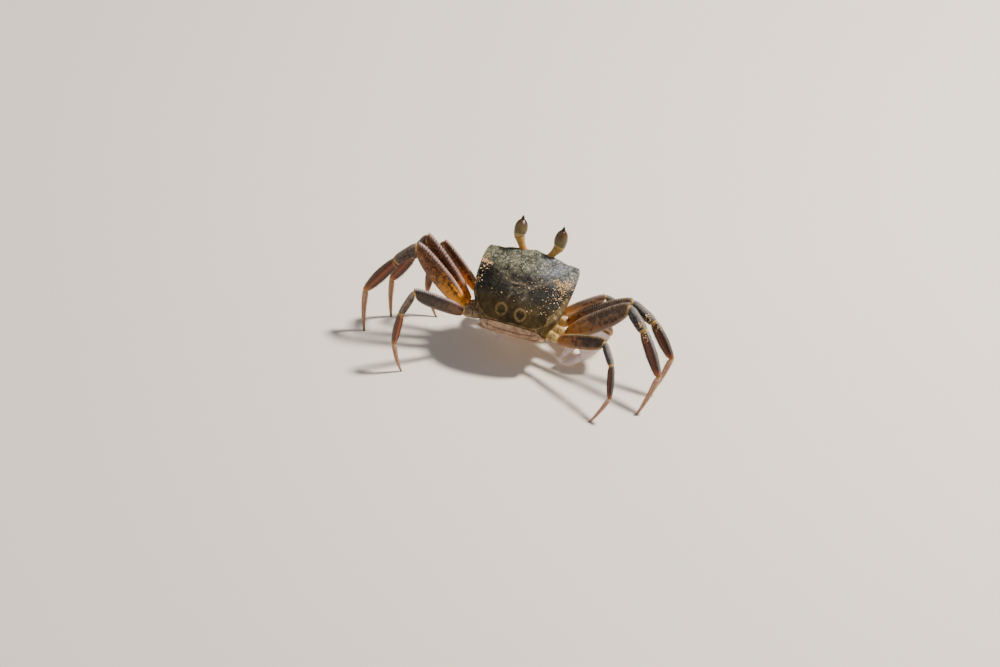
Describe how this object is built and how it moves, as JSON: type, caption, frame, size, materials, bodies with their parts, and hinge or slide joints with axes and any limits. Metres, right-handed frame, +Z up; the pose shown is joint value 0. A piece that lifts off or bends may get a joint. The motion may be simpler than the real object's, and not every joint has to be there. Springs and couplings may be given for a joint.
{
  "type": "ghost crab",
  "caption": "Ghost crab, a still life-size model standing on its walking legs with raised horned eyes and folded claws.",
  "frame": {"origin": "middle of the model's box, on the floor the feet stand on", "axes": "+Z up; the crab faces -Y and its right side is towards -X, so its legs span X"},
  "size_m": [0.1372, 0.0592, 0.0533],
  "materials": {
    "carapace": "dark olive grey shell, finely granular, satin",
    "thorax": "pale cream shell, satin",
    "tail": "pale pinkish brown shell, satin",
    "mouthparts": "cream shell, satin",
    "eyestalk": "amber yellow shell, satin",
    "cornea": "olive brown, glossy and finely faceted",
    "horn": "near black, glossy",
    "leg_hip": "cream to yellow shell, satin",
    "leg_merus": "mottled dark brown and amber shell, satin",
    "leg_carpus": "slate brown shell, granular",
    "leg_propodus": "reddish brown shell with lengthwise bands, satin",
    "leg_dactyl": "pinkish tan, grooved, dark tipped",
    "claw_hip": "cream shell, satin",
    "claw_arm": "pinkish cream shell, satin",
    "claw_wrist": "pinkish cream shell, finely granular",
    "claw_hand": "whitish lilac shell, finely granular",
    "claw_thumb": "whitish lilac shell, finely granular"
  },
  "bodies": {
    "root": {"carapace": "carapace", "claw_l_arm": "claw_arm", "claw_l_hand": "claw_hand", "claw_l_hip": "claw_hip", "claw_l_thumb": "claw_thumb", "claw_l_wrist": "claw_wrist", "claw_r_arm": "claw_arm", "claw_r_hand": "claw_hand", "claw_r_hip": "claw_hip", "claw_r_thumb": "claw_thumb", "claw_r_wrist": "claw_wrist", "cornea_l": "cornea", "cornea_r": "cornea", "eyestalk_l": "eyestalk", "eyestalk_r": "eyestalk", "horn_l": "horn", "horn_r": "horn", "leg_l1_carpus": "leg_carpus", "leg_l1_dactyl": "leg_dactyl", "leg_l1_hip": "leg_hip", "leg_l1_merus": "leg_merus", "leg_l1_propodus": "leg_propodus", "leg_l2_carpus": "leg_carpus", "leg_l2_dactyl": "leg_dactyl", "leg_l2_hip": "leg_hip", "leg_l2_merus": "leg_merus", "leg_l2_propodus": "leg_propodus", "leg_l3_carpus": "leg_carpus", "leg_l3_dactyl": "leg_dactyl", "leg_l3_hip": "leg_hip", "leg_l3_merus": "leg_merus", "leg_l3_propodus": "leg_propodus", "leg_l4_carpus": "leg_carpus", "leg_l4_dactyl": "leg_dactyl", "leg_l4_hip": "leg_hip", "leg_l4_merus": "leg_merus", "leg_l4_propodus": "leg_propodus", "leg_r1_carpus": "leg_carpus", "leg_r1_dactyl": "leg_dactyl", "leg_r1_hip": "leg_hip", "leg_r1_merus": "leg_merus", "leg_r1_propodus": "leg_propodus", "leg_r2_carpus": "leg_carpus", "leg_r2_dactyl": "leg_dactyl", "leg_r2_hip": "leg_hip", "leg_r2_merus": "leg_merus", "leg_r2_propodus": "leg_propodus", "leg_r3_carpus": "leg_carpus", "leg_r3_dactyl": "leg_dactyl", "leg_r3_hip": "leg_hip", "leg_r3_merus": "leg_merus", "leg_r3_propodus": "leg_propodus", "leg_r4_carpus": "leg_carpus", "leg_r4_dactyl": "leg_dactyl", "leg_r4_hip": "leg_hip", "leg_r4_merus": "leg_merus", "leg_r4_propodus": "leg_propodus", "mouthparts": "mouthparts", "tail": "tail", "thorax": "thorax"}
  },
  "joints": []
}
